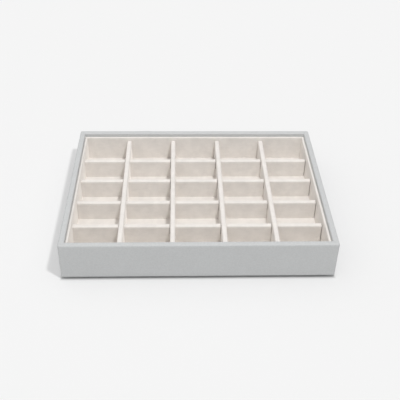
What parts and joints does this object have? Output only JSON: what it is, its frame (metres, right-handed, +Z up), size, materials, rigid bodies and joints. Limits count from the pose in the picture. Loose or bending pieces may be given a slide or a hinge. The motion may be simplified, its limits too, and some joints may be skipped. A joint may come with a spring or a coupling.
{
  "type": "jewellery tray",
  "caption": "Shallow open tray covered in leatherette, lined with velvet and divided by a grid of low walls into small equal compartments for rings and other jewellery; stacks on its own kind.",
  "frame": {"origin": "centre of the footprint, on the plane the tray stands on", "axes": "+X along the width, towards the right seen from the front; +Y towards the back; +Z up"},
  "size_m": [0.25, 0.18, 0.041],
  "materials": {
    "leatherette": "satin",
    "velvet": "matte",
    "board": "matte",
    "greyboard": "matte"
  },
  "bodies": {
    "root": {"base_board": "board", "plinth_board": "board", "wall_board_front": "board", "wall_board_back": "board", "wall_board_left": "board", "wall_board_right": "board", "leatherette_wrap": "leatherette", "plinth_cover": "leatherette", "floor_card": "greyboard", "floor_velvet": "velvet", "liner_card_front": "greyboard", "liner_velvet_front": "velvet", "liner_card_back": "greyboard", "liner_velvet_back": "velvet", "liner_card_left": "greyboard", "liner_velvet_left": "velvet", "liner_card_right": "greyboard", "liner_velvet_right": "velvet", "long_divider_card_1": "greyboard", "long_divider_velvet_1": "velvet", "long_divider_card_2": "greyboard", "long_divider_velvet_2": "velvet", "long_divider_card_3": "greyboard", "long_divider_velvet_3": "velvet", "long_divider_card_4": "greyboard", "long_divider_velvet_4": "velvet", "cross_divider_card_1": "greyboard", "cross_divider_velvet_1": "velvet", "cross_divider_card_2": "greyboard", "cross_divider_velvet_2": "velvet", "cross_divider_card_3": "greyboard", "cross_divider_velvet_3": "velvet", "cross_divider_card_4": "greyboard", "cross_divider_velvet_4": "velvet"}
  },
  "joints": []
}
